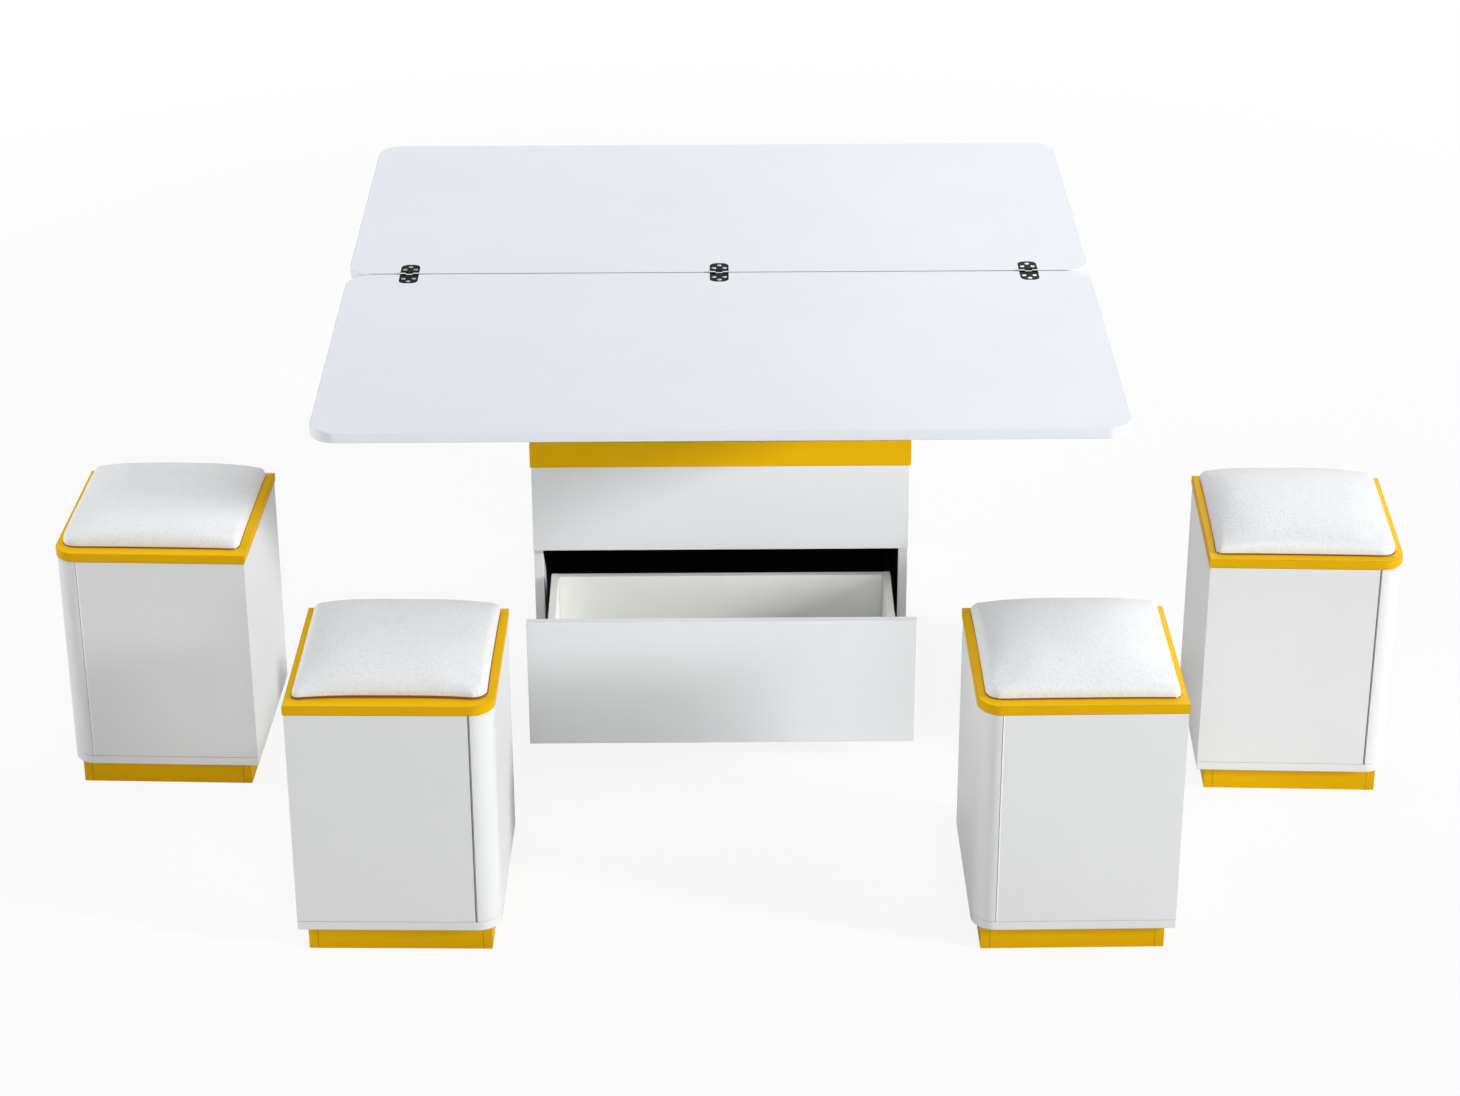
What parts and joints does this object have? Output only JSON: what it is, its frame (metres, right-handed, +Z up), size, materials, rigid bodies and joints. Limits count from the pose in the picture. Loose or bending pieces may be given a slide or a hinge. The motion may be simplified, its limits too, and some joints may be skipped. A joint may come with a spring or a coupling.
{
  "type": "lift-top coffee table with stools",
  "caption": "Square storage coffee table with a lift-up, fold-out white top, a pull-out drawer and padded cube stools.",
  "frame": {"origin": "middle of the cabinet footprint at floor level, on the underside of the plinth rail that crosses it", "axes": "+X to the right along the hinge seam, +Y to the back, +Z up; rest pose: top raised and unfolded, drawer pulled out, stools standing round the table"},
  "size_m": [2.0498, 1.5602, 0.6633],
  "materials": {
    "white_laminate": "satin white laminate",
    "white_board": "satin white laminated board",
    "yellow_board": "satin yellow lacquered board",
    "drawer_board": "matt white board",
    "white_leather": "grained white upholstery leather",
    "black_hinge": "satin black plated steel",
    "zinc_steel": "zinc plated sheet steel",
    "black_steel": "matt black coated steel",
    "spring_steel": "dark spring steel"
  },
  "bodies": {
    "cabinet": {"cabinet_base": "white_board", "cabinet_side_right": "white_board", "cabinet_side_left": "white_board", "cabinet_back": "white_board", "cabinet_deck": "white_board", "cabinet_fascia": "white_board", "cabinet_plinth": "yellow_board", "cabinet_rim": "yellow_board", "slide_outer_right": "zinc_steel", "slide_outer_left": "zinc_steel", "lift_bracket_right": "black_steel", "lift_bracket_left": "black_steel", "lift_spring_right": "spring_steel", "lift_spring_left": "spring_steel"},
    "slide_middles": {"slide_middle_right": "zinc_steel", "slide_middle_left": "zinc_steel"},
    "drawer": {"drawer_front": "white_board", "drawer_side_right": "drawer_board", "drawer_side_left": "drawer_board", "drawer_back": "drawer_board", "drawer_bottom": "drawer_board", "slide_inner_right": "zinc_steel", "slide_inner_left": "zinc_steel"},
    "front_arms": {"lift_front_arms": "black_steel"},
    "rear_arms": {"lift_rear_arm_right": "black_steel", "lift_rear_arm_left": "black_steel"},
    "top": {"rear_leaf": "white_laminate", "lift_rail_right": "black_steel", "lift_rail_left": "black_steel", "hinge_1_rear_plate": "black_hinge", "hinge_2_rear_plate": "black_hinge", "hinge_3_rear_plate": "black_hinge"},
    "front_leaf": {"front_leaf": "white_laminate", "hinge_1_front_plate": "black_hinge", "hinge_2_front_plate": "black_hinge", "hinge_3_front_plate": "black_hinge"},
    "stool_1": {"stool_1_plinth": "yellow_board", "stool_1_base": "white_board", "stool_1_body": "white_board", "stool_1_corner_post": "white_board", "stool_1_seat_board": "yellow_board", "stool_1_cushion": "white_leather"},
    "stool_2": {"stool_2_plinth": "yellow_board", "stool_2_base": "white_board", "stool_2_body": "white_board", "stool_2_corner_post": "white_board", "stool_2_seat_board": "yellow_board", "stool_2_cushion": "white_leather"},
    "stool_3": {"stool_3_plinth": "yellow_board", "stool_3_base": "white_board", "stool_3_body": "white_board", "stool_3_corner_post": "white_board", "stool_3_seat_board": "yellow_board", "stool_3_cushion": "white_leather"},
    "stool_4": {"stool_4_plinth": "yellow_board", "stool_4_base": "white_board", "stool_4_body": "white_board", "stool_4_corner_post": "white_board", "stool_4_seat_board": "yellow_board", "stool_4_cushion": "white_leather"}
  },
  "joints": [
    {"name": "drawer_slide", "type": "slide", "parent": "cabinet", "child": "drawer", "axis": [0, 1, 0], "range_m": [0, 0.24]},
    {"name": "slide_middle_slide", "type": "slide", "parent": "cabinet", "child": "slide_middles", "axis": [0, 1, 0], "range_m": [0, 0.12]},
    {"name": "lift", "type": "hinge", "parent": "cabinet", "child": "front_arms", "pos_m": [0, -0.042, 0.4013], "axis": [1, 0, 0], "range_deg": [0, 94.5]},
    {"name": "lift_rear_arm", "type": "hinge", "parent": "cabinet", "child": "rear_arms", "pos_m": [0, 0.048, 0.4313], "axis": [1, 0, 0], "range_deg": [0, 94.5]},
    {"name": "lift_level", "type": "hinge", "parent": "front_arms", "child": "top", "pos_m": [0, -0.02701, 0.59171], "axis": [1, 0, 0], "range_deg": [-94.5, 0]},
    {"name": "leaf_fold", "type": "hinge", "parent": "top", "child": "front_leaf", "pos_m": [0, -0.09401, 0.66011], "axis": [-1, 0, 0], "range_deg": [0, 180]},
    {"name": "stool_1_place", "type": "slide", "parent": "cabinet", "child": "stool_1", "axis": [0.0061, 1, 0], "range_m": [0, 1.0538]},
    {"name": "stool_2_place", "type": "slide", "parent": "cabinet", "child": "stool_2", "axis": [-0.0395, 0.9992, 0], "range_m": [0, 1.0642]},
    {"name": "stool_3_place", "type": "slide", "parent": "cabinet", "child": "stool_3", "axis": [0.8145, 0.5801, 0], "range_m": [0, 0.494]},
    {"name": "stool_4_place", "type": "slide", "parent": "cabinet", "child": "stool_4", "axis": [-0.7896, 0.6136, 0], "range_m": [0, 0.5365]}
  ],
  "couplings": [
    {"joint": "slide_middle_slide", "follows": "drawer_slide", "ratio": 0.5},
    {"joint": "lift_rear_arm", "follows": "lift", "ratio": 1},
    {"joint": "lift_level", "follows": "lift", "ratio": -1}
  ]
}
